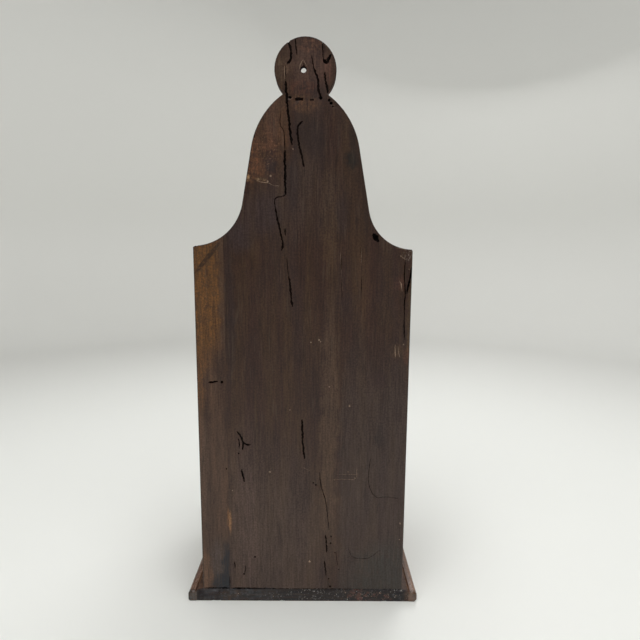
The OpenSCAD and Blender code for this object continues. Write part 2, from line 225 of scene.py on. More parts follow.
def addWear(tree, colour, grain, coords, look, patches):
    # worn and stained places, broken up by the grain
    place, board = coords
    shaken = wandering(tree, place, board, look)
    threadPart, speckPart = [calc(tree, "MULTIPLY", grain[kind], look["torn"][kind])
                             for kind in ("thread", "speck")]
    torn = calc(tree, "ADD", threadPart, speckPart)
    for patch in patches:
        share = patchShare(tree, place if patch["steady"] else shaken, patch)
        broken = spread(tree, torn, *look["tornSpan"], 1 - patch["broken"], 1.0)
        share = calc(tree, "MULTIPLY", share, broken)
        if "spots" in patch:
            size, low, high = patch["spots"]
            spot = cloudOf(tree, board, size, 3.0, 0.65)
            share = calc(tree, "MULTIPLY", share, spread(tree, spot, low, high))
        colour = mixTones(tree, share, colour, patch["colour"])
    return colour


def shadeGrain(tree, colour, grain, look):
    # fine threads and specks shade whatever lies under them, with silvery threads and pores on top
    shade = calc(tree, "MULTIPLY", spread(tree, grain["thread"], *look["span"], *look["threadShade"]),
                 spread(tree, grain["speck"], *look["span"], *look["speckShade"]))
    colour = addNode(tree, "ShaderNodeVectorMath", {0: colour, "Scale": shade}, operation="SCALE")
    for kind in ("silver", "pore"):
        share = spread(tree, grain[kind], *look[kind + "Span"], 0.0, look[kind + "Share"])
        colour = mixTones(tree, share, colour, look[kind + "Tone"])
    return colour


def woodFinish(name, look, patches=()):
    finish, tree, shader = newFinish(name)
    place, board = boardCoords(tree, look)
    grain = grainPatterns(tree, board, look)
    # broad bands choose the tone and dirt clouds it
    colour = mixTones(tree, spread(tree, grain["band"], *look["span"]), look["dark"], look["light"])
    dirt = spread(tree, grain["cloud"], *look["dirtSpan"], 0.0, look["dirtShare"])
    colour = mixTones(tree, dirt, colour, look["dirt"])
    colour = addWear(tree, colour, grain, (place, board), look, patches)
    colour = shadeGrain(tree, colour, grain, look)
    rough = spread(tree, grain["cloud"], *look["roughSpan"], *look["rough"])
    # threads stand up and pores sink in
    height = calc(tree, "MULTIPLY_ADD", grain["pore"], -look["poreSink"], grain["thread"])
    relief = reliefOf(tree, height, look["reliefShare"], look["relief"])
    setInputs(tree, shader, {"Base Color": colour, "Roughness": rough, "Normal": relief,
                             "Specular IOR Level": look["gloss"]})
    return finish


# Separate solids in a mesh

weldGap = 2e-6  # m, closes the seams of a CAD mesh
hairGap = 2e-7  # m, closes the hair cracks that cutting leaves


def islandsOf(shape):
    # the faces of each separate solid
    islands = []
    seen = set()
    for start in shape.faces:
        if start in seen:
            continue
        seen.add(start)
        island = [start]
        for face in island:
            beside = [other for edge in face.edges for other in edge.link_faces]
            fresh = [other for other in dict.fromkeys(beside) if other not in seen]
            seen.update(fresh)
            island += fresh
        islands.append(island)
    return islands


def weldedNode(nodeName):
    shape = bmesh.new()
    shape.from_mesh(frame["nodes"][nodeName].data)
    bmesh.ops.remove_doubles(shape, verts=shape.verts, dist=weldGap)
    return shape


def solidMiddles(nodeName):
    # the middle of each separate solid in a node, in mm
    shape = weldedNode(nodeName)
    middles = []
    for island in islandsOf(shape):
        points = dict.fromkeys(vert for face in island for vert in face.verts)
        middles.append(sum((vert.co for vert in points), Vector()) / len(points) / mm)
    shape.free()
    return sorted(middles, key=lambda middle: (round(middle.x), middle.z))


# Wood finishes

oldWood = {
    "grain": "Z", "tilt": 0, "shift": (0, 0, 0),  # the axis it runs along, degrees and mm
    "bandStretch": 14, "threadStretch": 20, "poreStretch": 14, "cloudStretch": 3,  # how drawn out along it
    "bandWidth": 12, "threadWidth": 1.3, "silverWidth": 1.6,  # mm across it
    "cloudWidth": 26, "speckWidth": 1.8, "poreWidth": 1.0,
    "dark": (60, 39, 31), "light": (68, 47, 32),  # red, green and blue
    "dirt": (54, 39, 36), "dirtShare": 0.6,
    "threadShade": (0.83, 1.18), "speckShade": (0.77, 1.23),
    "silverTone": (94, 78, 65), "silverShare": 0.22,
    "poreTone": (24, 17, 14), "poreShare": 0.36,
    "rough": (0.45, 0.6), "gloss": 0.42, "reliefShare": 0.6, "relief": 0.3, "poreSink": 0.6,  # relief in mm
    "torn": {"thread": 0.6, "speck": 0.4},  # what breaks up a stain
    "drift": 16, "driftWidth": 1000 / 70,  # mm, how far a stain's outline strays and over what length
    # the stretch of each pattern's values that counts, as low and high
    "span": (0.34, 0.66), "dirtSpan": (0.42, 0.72), "tornSpan": (0.4, 0.58), "roughSpan": (0.3, 0.75),
    "silverSpan": (0.64, 0.72), "poreSpan": (0.58, 0.68),
}


def likeOldWood(**changes):
    return {**oldWood, **changes}


crestY, wallY = [corner.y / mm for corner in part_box("back_board")]
skin = 7  # mm, how far a stain goes into a board
edgeSkin = 3  # mm, the same for the back edges of the base


def stainsOn(faceY, depth):
    # makes worn or stained places on one face
    def stainAt(x, z, wide, tall, share, colour, **more):
        return patchAt((x, faceY, z), (wide, depth, tall), share, colour, **more)
    return stainAt


stain = stainsOn(wallY, skin)
frontStain = stainsOn(crestY, skin)  # on the other face, which is polished above the lid
edgeStain = stainsOn(wallY, edgeSkin)
backPatches = [
    # broad zones: a greyer side, a paler foot that is painted light bounced up from the floor, and a warm
    # streak up the board between them
    stain(-72, 110, 37.5, 400, 0.5, (66, 55, 51), inner=0.88, ramp=(290, 205)),
    # painted light: the lower board is made paler and greyer, as if lit by light bounced up from the floor
    stain(24, 60, 70, 150, 0.5, (82, 67, 60), inner=0.2),
    stain(58, 90, 24, 130, 0.4, (94, 74, 65)),
    stain(-26, 185, 11, 165, 0.55, (91, 70, 53), inner=0.45),
    stain(-24, 385, 10, 62, 0.45, (84, 62, 42), inner=0.6),
    stain(4, 405, 44, 56, 0.4, (72, 57, 49)),
    stain(38, 392, 28, 26, 0.55, (60, 47, 49)),
    stain(10, 417, 9, 38, 0.5, (46, 36, 37)),
    stain(-37, 388, 9, 26, 0.45, (48, 38, 39)),
    stain(58, 370, 18, 20, 0.55, (62, 51, 53)),
    stain(-4, 457, 24, 24, 0.4, (40, 31, 32)),
    stain(-57, 318, 13, 58, 0.3, (84, 58, 38)),
    stain(-77, 298, 10, 20, 0.5, (62, 44, 30)),
    stain(69, 300, 7, 100, 0.45, (46, 39, 40)),
    # rust-brown wear on the bell, with a darker heart
    stain(34, 452, 30, 44, 0.75, (102, 67, 47), inner=0.1, spots=(5, 0.38, 0.58), ramp=(415.5, 418.5)),
    stain(46, 440, 11, 42, 0.75, (114, 72, 47), spots=(3.5, 0.42, 0.58), ramp=(415.5, 418.5)),
    stain(29, 434, 9, 9, 0.8, (46, 37, 38), spots=(4, 0.3, 0.5)),
    stain(32, 447, 14, 24, 0.55, (136, 100, 76), spots=(1.8, 0.56, 0.68)),
    stain(24, 478, 14, 30, 0.6, (92, 64, 47), broken=0.8),
    stain(50, 422.6, 2.2, 4, 0.9, (178, 142, 102), steady=True, spots=(1.5, 0.36, 0.56)),
    stain(38.5, 421, 6.5, 2.4, 0.85, (138, 112, 82), steady=True, spots=(1.8, 0.4, 0.58)),
    # dark spot and dark rim across from it
    stain(-42, 438, 10, 11, 0.9, (28, 29, 27), spots=(5, 0.3, 0.5)),
    stain(-48, 448, 5, 36, 0.6, (42, 32, 28), lean=14),
    stain(-56, 402, 4.5, 30, 0.6, (42, 32, 28), lean=8),
    # the neck and the disc
    stain(-1, 487, 18, 10, 0.85, (100, 67, 43), broken=0.6, spots=(4, 0.3, 0.55)),
    stain(2, 501, 16, 11, 0.7, (92, 54, 40), spots=(4, 0.34, 0.58)),
    stain(-21, 514, 9, 16, 0.6, (96, 62, 50), broken=0.6),
    stain(18, 514, 9, 14, 0.55, (108, 86, 68), spots=(3, 0.36, 0.6)),
    stain(-4, 520, 24, 20, 0.5, (94, 67, 55)),
    stain(-7, 537, 17, 9, 0.7, (108, 72, 54), spots=(3, 0.38, 0.6)),
    # the foot and the right-hand edge
    stain(-90, 20, 58, 58, 0.8, (52, 50, 46), inner=0.45, spots=(9, 0.2, 0.5)),
    stain(72.6, 87, 2.2, 17, 0.9, (142, 103, 68), steady=True),
    stain(-75, 178, 5, 16, 0.6, (46, 36, 33)),
    stain(-74, 235, 10, 14, 0.85, (56, 38, 35)),
    stain(-101, 290, 4.5, 66, 0.85, (82, 62, 42)),
    stain(-90, 328, 7, 8, 0.5, (90, 56, 47)),
    stain(-90, 263, 9, 9, 0.6, (82, 60, 42), steady=True),
    stain(-99, 258, 4, 12, 0.6, (98, 62, 46), steady=True),
    stain(-98, 354, 7, 8, 0.8, (150, 134, 124), steady=True, spots=(1.5, 0.5, 0.62)),
]
crestPatches = [
    # bare, dry wood inside the box, under the lid
    frontStain(0, 150, 150, 240, 0.85, (104, 80, 61), inner=0.96, steady=True, ramp=(345, 340)),
    # polish above it, with dark patches, a darker band along the lid and a darker ring round the nail hole
    frontStain(10, 420, 30, 60, 0.4, (118, 80, 52)),
    frontStain(-8, 528, 16, 12, 0.4, (116, 78, 50)),
    frontStain(-34, 440, 16, 40, 0.5, (46, 33, 26), spots=(9, 0.3, 0.6)),
    frontStain(44, 392, 20, 26, 0.5, (44, 32, 26), spots=(8, 0.3, 0.6)),
    frontStain(0, 357, 110, 11, 0.75, (36, 26, 22), inner=0.1),
    frontStain(-0.3, 518, 8, 12, 0.75, (34, 25, 21), inner=0.2),
]
stripPatches = [
    stain(93, 322, 23, 88, 0.9, (107, 70, 31), inner=0.5, broken=0.4),
    stain(100, 254, 9, 66, 0.75, (108, 71, 36)),
    stain(89, 318, 16, 76, 0.6, (64, 46, 33), inner=0.6, spots=(4, 0.5, 0.64)),
    stain(97, 306, 9, 64, 0.6, (138, 92, 46), inner=0.5, spots=(2.6, 0.54, 0.66)),
    stain(90, 118, 19, 104, 0.5, (79, 59, 47), inner=0.6, broken=0.3),
    stain(75, 320, 4, 80, 0.45, (74, 57, 45)),
    stain(88.6, 350.6, 21, 2.4, 0.95, (42, 29, 20), lean=50, inner=0.75, steady=True,
          spots=(2.5, 0.24, 0.5)),
    stain(102, 300, 2.6, 90, 0.7, (50, 38, 29)),
    stain(74.6, 91, 2, 16, 0.85, (134, 92, 56), steady=True),
    stain(98, 132, 8, 66, 0.35, (98, 76, 62)),
    stain(98, 34, 7, 30, 0.65, (106, 77, 57)),
    stain(86, 42, 10, 36, 0.5, (76, 68, 66), broken=0.6),
    stain(76.5, 36, 8, 40, 1.0, (25, 28, 35), inner=0.4, spots=(5, 0.12, 0.44)),
    stain(81, 20, 15, 19, 1.0, (27, 30, 37), inner=0.4, spots=(4, 0.22, 0.48)),
]
basePatches = [
    edgeStain(2, 7, 112, 90, 0.97, (22, 23, 27), inner=0.95, broken=0.3),
    edgeStain(64, 7, 50, 30, 0.7, (60, 62, 66), spots=(6, 0.4, 0.6)),
    edgeStain(74, 5, 26, 12, 0.7, (84, 62, 48), spots=(4, 0.5, 0.62)),
    edgeStain(0, 7, 112, 40, 0.65, (80, 77, 79), inner=0.9, spots=(3, 0.54, 0.66)),
    edgeStain(-40, 7, 90, 40, 0.95, (186, 176, 166), inner=0.6, spots=(1.5, 0.63, 0.68)),
    edgeStain(-66, 6, 40, 16, 0.8, (108, 70, 60), spots=(4, 0.52, 0.64)),
]
footPatches = [
    edgeStain(113, 7, 8, 14, 0.9, (44, 40, 37), inner=0.8),
    edgeStain(-113, 7, 8, 14, 0.85, (82, 58, 41), inner=0.8),
]
lidSlope = 25  # degrees
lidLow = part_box("lid_board")[0] / mm
lidPatches = [
    # rubbed where fingers lift the lid, with grime round the hinges
    patchAt((0, lidLow.y, lidLow.z + 4), (58, 16, 16), 0.6, (138, 98, 66), inner=0.1),
]
for side in ("left", "right"):
    leafLow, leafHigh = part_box(side + "_lid_leaf")
    lidPatches.append(patchAt((leafLow + leafHigh) / 2 / mm, (26, 22, 16), 0.55, (40, 28, 22)))
# a dark halo round each nail
boxPatches = [patchAt(middle, (5, 30, 7), 0.75, (28, 21, 18), steady=True)
              for middle in solidMiddles("front_nails")]
stripLook = likeOldWood(dark=(63, 43, 33), light=(92, 66, 49), dirtShare=0.35, shift=(40, 0, 330))
boxLook = likeOldWood(dark=(64, 42, 31), light=(98, 66, 46), dirt=(56, 40, 33),
                      rough=(0.34, 0.52), shift=(310, 90, 40))
crestLook = {**boxLook, "shift": (150, 40, 620)}
lidLook = likeOldWood(dark=(66, 42, 30), light=(104, 69, 47), dirt=(58, 41, 33),
                      rough=(0.3, 0.5), grain="X", tilt=-lidSlope, shift=(140, 260, 500))
baseLook = likeOldWood(dark=(60, 42, 33), light=(92, 66, 50), dirt=(52, 41, 36),
                       rough=(0.42, 0.6), grain="X", shift=(80, 500, 200))
# the mouldings' own polished wood with painted light: its tones are raised to the brightness of their lit
# slopes
footLitLook = likeOldWood(dark=(95, 71, 58), light=(134, 106, 90), dirt=(84, 68, 59),
                       rough=(0.24, 0.4), gloss=0.6, grain="Y", shift=(400, 30, 90))
dryLook = likeOldWood(dark=(86, 65, 49), light=(118, 92, 70), dirt=(72, 58, 48), silverShare=0.1,
                      rough=(0.7, 0.85), gloss=0.2, shift=(220, 410, 160))
dryLidLook = {**dryLook, "grain": "X", "tilt": -lidSlope}
arrisLook = likeOldWood(dark=(78, 54, 40), light=(122, 86, 58), dirtShare=0.3)
darkArrisLook = likeOldWood(dark=(44, 33, 28), light=(72, 53, 41))
# near-black painted shade for the cut faces of worm tunnels, cracks, holes, chips and nicks, where the light
# doesn't reach
recessShadeLook = likeOldWood(dark=(12, 9, 8), light=(24, 17, 14), dirtShare=0.3, silverShare=0.0,
                      rough=(0.85, 0.95), gloss=0.1)
paleLook = likeOldWood(dark=(122, 100, 84), light=(166, 142, 120), dirtShare=0.2, rough=(0.7, 0.9))

finishes = {
    "back": woodFinish("back_wood_dark_stain", oldWood, backPatches),
    "crest": woodFinish("crest_wood_polish", crestLook, crestPatches),
    "strip": woodFinish("strip_wood_worn_stain", stripLook, stripPatches),
    "box": woodFinish("box_wood_polish", boxLook, boxPatches),
    "lid": woodFinish("lid_wood_polish", lidLook, lidPatches),
    "dry": woodFinish("inside_wood_dry", dryLook),
    "dryLid": woodFinish("lid_underside_dry", dryLidLook),
    "base": woodFinish("base_wood_polish", baseLook, basePatches),
    "foot": woodFinish("foot_wood_polish_painted_light", footLitLook, footPatches),
    "arris": woodFinish("rubbed_arris", arrisLook),
    "darkArris": woodFinish("grimy_arris", darkArrisLook),
    "recessShade": woodFinish("recess_painted_shade", recessShadeLook),
    "pale": woodFinish("bare_scratch", paleLook),
}
print("wood finishes:", len(finishes))


# Metal finishes

brassLook = {
    "bright": (136, 106, 64), "dull": (104, 80, 50), "crust": (80, 74, 52),
    "rough": (0.36, 0.56), "blotch": 9, "pit": 0.5,
}
ironLook = {
    "bright": (52, 46, 43), "dull": (38, 30, 26), "crust": (88, 50, 30),
    "rough": (0.55, 0.8), "blotch": 2.2, "pit": 0.4,
}
metalSpan = {"tone": (0.32, 0.68), "blotch": (0.55, 0.75), "pit": (0.45, 0.65), "rough": (0.35, 0.65)}
metalRelief = {"share": 0.35, "depth": 0.1}  # depth in mm


def metalFinish(name, look, metallic):
    finish, tree, shader = newFinish(name)
    place = placeOf(tree)
    blotch = cloudOf(tree, place, look["blotch"], 5.0, 0.62)
    pit = cloudOf(tree, place, look["pit"], 3.0, 0.6)
    tarnish = spread(tree, blotch, *metalSpan["tone"])
    colour = mixTones(tree, tarnish, look["bright"], look["dull"])
    crust = calc(tree, "MULTIPLY", spread(tree, blotch, *metalSpan["blotch"]),
                 spread(tree, pit, *metalSpan["pit"]))
    colour = mixTones(tree, crust, colour, look["crust"])
    rough = spread(tree, blotch, *metalSpan["rough"], *look["rough"])
    relief = reliefOf(tree, pit, metalRelief["share"], metalRelief["depth"])
    setInputs(tree, shader, {"Base Color": colour, "Roughness": rough, "Normal": relief,
                             "Metallic": metallic})
    return finish


finishes["brass"] = metalFinish("hinge_brass_tarnished", brassLook, 1.0)
finishes["iron"] = metalFinish("nail_iron_rusted", ironLook, 0.7)
print("metal finishes done")


# Mesh helpers

wearSeed = 1790
rng = random.Random(wearSeed)
faceIndex, arrisIndex, recessShadeIndex, paleIndex, insideIndex = range(5)  # places in a board's list of finishes
boxMiddle = (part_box("left_side")[0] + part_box("right_side")[1]) / 2
flatAngle = 0.3  # degrees, faces that meet flatter than this become one
smoothAngle = 40  # degrees, edges sharper than this stay crisp


def pieceFrom(shape, name):
    mesh = bpy.data.meshes.new(name)
    shape.to_mesh(mesh)
    shape.free()
    piece = bpy.data.objects.new(name, mesh)
    scene.collection.objects.link(piece)
    return piece


def sharpEdges(shape, rule, least):
    steep = math.radians(least)
    return [edge for edge in shape.edges
            if len(edge.link_faces) == 2 and edge.calc_face_angle(0) > steep and rule(edge)]


def smoothPath(points, step):
    # Catmull-Rom through the points, about step apart
    ends = [points[0] * 2 - points[1], *points, points[-1] * 2 - points[-2]]
    path = []
    for a, b, c, d in zip(ends, ends[1:], ends[2:], ends[3:]):
        count = max(1, round((c - b).length / step))
        for i in range(count):
            t = i / count
            path.append(0.5 * (2 * b + (c - a) * t + (2 * a - 5 * b + 4 * c - d) * t * t
                               + (3 * b - a - 3 * c + d) * t ** 3))
    path.append(points[-1])
    return path


def skinRings(shape, rings):
    # joins rings of points into a tube with closed ends
    for near, far in zip(rings, rings[1:]):
        for j in range(len(near)):
            k = (j + 1) % len(near)
            shape.faces.new((near[j], near[k], far[k], far[j]))
    shape.faces.new(list(reversed(rings[0])))
    shape.faces.new(rings[-1])


def sweep(path, sections):
    # one ring of points per place on the path, across it and out of the face
    shape = bmesh.new()
    out = Vector((0, 1, 0))
    rings = []
    for i, middle in enumerate(path):
        ahead = path[min(i + 1, len(path) - 1)] - path[max(i - 1, 0)]
        side = ahead.cross(out).normalized()
        ring = [middle + side * u + out * v for u, v in sections[i]]
        rings.append([shape.verts.new(point) for point in ring])
    skinRings(shape, rings)
    return shape


lumps = {"waves": 1.7, "apart": 900}


def blob(shape, middle, size, roughness):
    # a lumpy ball that bites a chip out of an edge, each with lumps of its own
    made = bmesh.ops.create_icosphere(shape, subdivisions=2, radius=1)
    for vert in made["verts"]:
        lump = 1 + roughness * noise.noise(vert.co * lumps["waves"] + middle * lumps["apart"])
        vert.co = middle + Vector((vert.co.x * size[0], vert.co.y * size[1], vert.co.z * size[2])) * lump


# cut faces get the near-black painted shade unless another finish is given
def asCutter(shape, finishIndex=recessShadeIndex):
    bmesh.ops.recalc_face_normals(shape, faces=shape.faces)
    for face in shape.faces:
        face.material_index = finishIndex
    return pieceFrom(shape, "cutter")


def closeSlivers(mesh):
    # welds hair cracks, then takes out the folded faces and loose crumbs that cutting leaves
    shape = bmesh.new()
    shape.from_mesh(mesh)
    bmesh.ops.triangulate(shape, faces=shape.faces)
    bmesh.ops.remove_doubles(shape, verts=shape.verts, dist=hairGap)
    twins = {}
    for face in shape.faces:
        twins.setdefault(frozenset(face.verts), []).append(face)
    folded = [face for pair in twins.values() if len(pair) > 1 for face in pair]
    bmesh.ops.delete(shape, geom=folded, context="FACES")
    crumbs = sorted(islandsOf(shape), key=len)[:-1]
    bmesh.ops.delete(shape, geom=[face for crumb in crumbs for face in crumb], context="FACES")
    shape.to_mesh(mesh)
    shape.free()


def carve(piece, cutters):
    for cutter in cutters:
        for finish in piece.data.materials:
            cutter.data.materials.append(finish)
        cut = piece.modifiers.new("cut", "BOOLEAN")
        cut.operation = "DIFFERENCE"
        cut.solver = "MANIFOLD"
        cut.object = cutter
    bpy.context.view_layer.update()
    seen = piece.evaluated_get(bpy.context.evaluated_depsgraph_get())
    carved = bpy.data.meshes.new_from_object(seen)
    carved.name = piece.name
    closeSlivers(carved)
    piece.modifiers.clear()
    piece.data = carved
    for cutter in cutters:
        bpy.data.objects.remove(cutter)


def softShading(piece):
    piece.data.shade_smooth()
    piece.data.set_sharp_from_angle(angle=math.radians(smoothAngle))
    piece.modifiers.new("even shading", "WEIGHTED_NORMAL").keep_sharp = True


# lengths in mm, and ends is the share of an edge that stays whole at each end
nick = {"length": (0.7, 2.6), "leastBite": 0.35, "apart": 6, "roughness": 0.5, "ends": 0.02}


def nickCutter(edges, care):
    # small chips along the arrises
    spans = [(edge.verts[0].co.copy(), edge.verts[1].co.copy()) for edge in edges]
    weights = [(b - a).length for a, b in spans]
    shape = bmesh.new()
    taken = []
    for i in range(care["nicks"]):
        a, b = rng.choices(spans, weights)[0]
        middle = a.lerp(b, rng.uniform(nick["ends"], 1 - nick["ends"]))
        length = rng.uniform(*nick["length"]) * mm
        bite = rng.uniform(nick["leastBite"], care["bite"]) * mm
        if any((middle - other).length < nick["apart"] * mm for other in taken):
            continue
        taken.append(middle)
        along = (b - a).normalized()
        size = [max(bite, abs(along[k]) * length) for k in range(3)]
        blob(shape, middle, size, nick["roughness"])
    return asCutter(shape)


def longArris(care):
    return lambda edge: edge.calc_length() > care["long"] * mm


def finishInside(piece):
    # faces towards the middle of the box have a finish of their own
    for face in piece.data.polygons:
        if face.material_index == faceIndex and face.normal.dot(boxMiddle - face.center) > 0:
            face.material_index = insideIndex


def agedBoard(nodeName, finishName, care, cutters=(), rule=None):
    # a copy of the board with eased arrises, its long ones if no rule is given, and small chips
    shape = weldedNode(nodeName)
    flat = math.radians(flatAngle)
    bmesh.ops.dissolve_limit(shape, angle_limit=flat, verts=shape.verts, edges=shape.edges)
    edges = sharpEdges(shape, rule or longArris(care), care["least"])
    nicks = [nickCutter(edges, care)] if care["nicks"] else []
    bmesh.ops.bevel(shape, geom=edges, offset=care["ease"] * mm, segments=3, profile=0.5,
                    affect="EDGES", clamp_overlap=False, material=arrisIndex)
    piece = pieceFrom(shape, nodeName + "_aged")
    for name in (finishName, care.get("arris", "arris"), "recessShade", "pale", care.get("inside", finishName)):
        piece.data.materials.append(finishes[name])
    carve(piece, [*nicks, *cutters])
    if "inside" in care:
        finishInside(piece)
    softShading(piece)
    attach(piece, frame["nodes"][nodeName]["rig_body"])
    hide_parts(nodeName)
    return piece


# Damage to the back, with places as (x, z) in mm on the face towards the wall

def mark(width, *path, **more):
    return {"width": width, "path": path, **more}


backDamage = {
    "galleries": [  # worm tunnels laid open
        mark(2.0, (13.2, 541), (12.9, 537.9), (11.4, 533.6), (10.7, 529.5), (11.3, 523.1), (14.6, 519.8)),
        mark(2.3, (15.6, 505.8), (14.9, 498.7), (14.5, 493.5), (13.5, 480.6), (11.7, 464.8), (10, 451.4)),
        mark(1.2, (6.9, 543), (6.1, 532), (5.6, 527)),
        mark(1.1, (-7.3, 527), (-8.7, 521.4), (-9.8, 515.6)),
        mark(2.1, (-9.6, 517), (-11, 512.6), (-13.2, 507.9), (-13.6, 500.2), (-16, 492)),
        mark(2.8, (-17.4, 524.4), (-18.6, 522.8), (-20.4, 521.4), (-22, 523.6), (-23.2, 525.8), (-25, 528.4)),
        mark(1.8, (-19.2, 513.7), (-19.7, 508), (-20, 505.4), (-21.8, 497.7), (-22.6, 494.6)),
        mark(2.1, (16.3, 447.5), (16.6, 439), (16.4, 430), (16, 417), (15.6, 408)),
        mark(1.2, (15.6, 408), (19.2, 406.2), (25.7, 404), (25.3, 394.5)),
        mark(1.8, (25.3, 396), (23.8, 388), (22.1, 381), (19.4, 367.3), (18.5, 362.8), (19.7, 357.3)),
        mark(1.3, (16.6, 378.3), (16.4, 371)),
        mark(2.0, (0.1, 472), (4.1, 468.3), (5, 464), (3.7, 452), (1.4, 443.3), (-0.9, 432.3)),
        mark(1.9, (13.6, 334), (12.1, 329.5), (11.2, 315.4), (9.6, 305)),
        mark(1.8, (64.5, 182.4), (60.7, 177.3), (58.8, 171.1), (59, 162.9)),
        mark(1.6, (58.8, 171.5), (55, 169), (50.5, 168.6)),
        mark(1.2, (63.2, 175.2), (62.3, 170), (62.4, 165)),
        mark(1.9, (60.3, 143.6), (59.5, 137), (58, 130)),
        mark(1.9, (0.8, 195), (0.1, 175), (-1.7, 154)),
        mark(1.5, (-23.1, 74), (-24, 64), (-24.6, 54.3)),
        mark(1.4, (-22.3, 45.4), (-22.9, 38), (-24, 28.7)),
        mark(0.9, (58.6, 40), (58.2, 35), (59.6, 31)),
        mark(1.3, (69.4, 44), (69, 40), (68.8, 36.5)),
    ],
    "cracks": [
        mark(0.6, (19.7, 480), (20.7, 470), (17.1, 462), (16.3, 447.5)),
        mark(0.6, (14.9, 351), (14, 338), (13.5, 333)),
        mark(1.0, (-95.2, 349), (-94.8, 336.2), (-95.5, 326.2), (-96.1, 317.5), (-95.7, 307.3), (-96.5, 274)),
        mark(2.0, (-101.4, 343), (-100.7, 334.8), (-99.1, 327.6), (-97.6, 318)),
        mark(0.7, (-16.6, 140.4), (-18.2, 126.7), (-22.8, 110.7), (-25, 94.6), (-26.6, 78.4)),
        mark(0.5, (-66.9, 156), (-65.2, 133), (-68.8, 120), (-74.4, 114), (-82, 115), (-97, 113)),
        mark(0.4, (-46, 60.6), (-51.3, 49.6), (-66.5, 48.6), (-78.6, 57.5)),
        mark(0.6, (-34.2, 56), (-34.6, 48), (-36, 40)),
        mark(1.7, (73.4, 14.2), (60, 14.3), (45, 14), (27, 13.8)),
        mark(0.8, (27, 13.8), (-40, 13.8), (-101, 13.7)),
        mark(3.0, (-0.7, 515.6), (-0.6, 518), (-0.4, 520.6), tip=0.1),
        mark(2.8, (7.1, 490.4), (3.5, 490.6), (-0.2, 490.5), tip=1),
        mark(1.5, (-6.1, 490.2), (-9.6, 490.2), tip=1),
        mark(1.0, (-17, 538.8), (-17.1, 533), (-17.5, 527), (-17.9, 523.6)),
        mark(0.5, (-35.4, 354), (-35.7, 346), (-36, 340)),
        mark(0.4, (-36, 331), (-36.6, 320), (-36.4, 312)),
        mark(0.5, (-53.2, 361), (-53.3, 354)),
        mark(0.5, (-54.5, 334), (-54.8, 326), (-54.6, 317)),
        mark(0.7, (15.7, 519), (15.6, 513), (15.2, 506)),
    ],
    "holes": [  # x, z and width
        (11.5, 492.1, 2.5), (-15.7, 491.8, 3.2), (-23.2, 489.8, 2.6), (-25, 487.3, 2.9), (-26.6, 484.6, 1.4),
        (63, 159.7, 1.6), (-10.7, 129.3, 1.6), (-13.2, 127.2, 1.8), (-28.7, 72, 1.6), (-28.4, 64.6, 1.7),
        (-26.6, 25.3, 1.6), (-28.2, 16.8, 2.0), (-32.9, 54.3, 1.2), (48.4, 49.1, 2.0),
        (59.8, 30.2, 1.9), (-37, 35.8, 1.2),
    ],
    "chips": [  # x, z and size along x, y, z
        (-67.2, 370, 2.7, 2.6, 3.2), (-65.4, 372.4, 1.5, 2, 1.5), (-69.2, 367.4, 1.4, 2, 1.8),
        (-102.4, 359.6, 2.4, 5, 2), (-103, 353, 1.2, 4, 4),
    ],
    "scratches": [  # pale marks
        mark(0.8, (16.4, 519.4), (16.3, 513), (16.1, 507.1)),
        mark(1.5, (3.2, 516), (2.4, 519.6), (-0.1, 523.8)),
        mark(1.1, (-0.5, 523.2), (-1.8, 521), (-3.2, 518.4)),
        mark(1.2, (-90.8, 353.4), (-93.3, 351.2), (-95.5, 349.8)),
        mark(1.1, (-90.3, 330.5), (-92.3, 326.1), (-93.2, 320.4)),
        mark(1.3, (-95.8, 320.2), (-97.4, 319.4)),
        mark(1.0, (-100.2, 358.3), (-101.1, 353.4)),
        mark(0.6, (-31, 133), (-41, 133.2), (-52, 133)),
        mark(0.4, (-33, 138.4), (-54, 138.2)),
        mark(0.4, (-53.4, 147), (-53.6, 134)),
        mark(0.5, (-1, 145), (-8, 141.5)),
        mark(0.4, (-34.9, 357), (-35.4, 343), (-36.4, 330), (-37.2, 319)),
        mark(0.4, (-54, 360), (-54.3, 352), (-54.6, 346)),
        mark(0.7, (42, 420.4), (36, 418.6), (31.7, 418.4), (27, 416.2), (21, 415.4)),
        mark(1.3, (-87.9, 269.5), (-88.2, 263), (-88.8, 257.2)),
        mark(1.0, (-91, 267.8), (-91.6, 262), (-92.6, 257.2)),
        mark(0.9, (-86.4, 360.9), (-91, 359.9), (-96, 359.4)),
    ],
    "specks": [  # x, z and width
        (32.5, 140.6, 1.8), (-7.1, 44.4, 1.9), (-15.5, 273.5, 1.7), (-17, 272, 1.3), (-7.7, 271.2, 1.3),
        (-25.8, 227.8, 1.5), (-45.4, 208.7, 1.7), (-98.2, 86.4, 1.9), (-97.8, 69, 1.3), (-45, 141, 1.4),
        (-52, 134.5, 1.5), (-31.5, 132.6, 1.6), (-91.2, 353, 1.6), (9, 448, 1.2), (29.4, 424.7, 2.0),
        (32, 419.6, 1.8), (12.5, 204.3, 1.2), (-99, 341, 1.2), (-96.1, 269.6, 1.4), (70, 121, 1.1),
    ],
}
stripDamage = {
    "galleries": [mark(2.0, (91.4, 231.2), (87, 231.8), (81.6, 232.6))],
    "cracks": [
        mark(1.8, (101, 14.2), (90, 14.2), (75, 14.2)),
        mark(1.0, (74.6, 28), (74.5, 15)),
    ],
    "holes": [(77.8, 231.7, 2.6), (75.5, 143.5, 1.6)],
    "chips": [(102, 362.9, 6, 9, 2.2)],
}
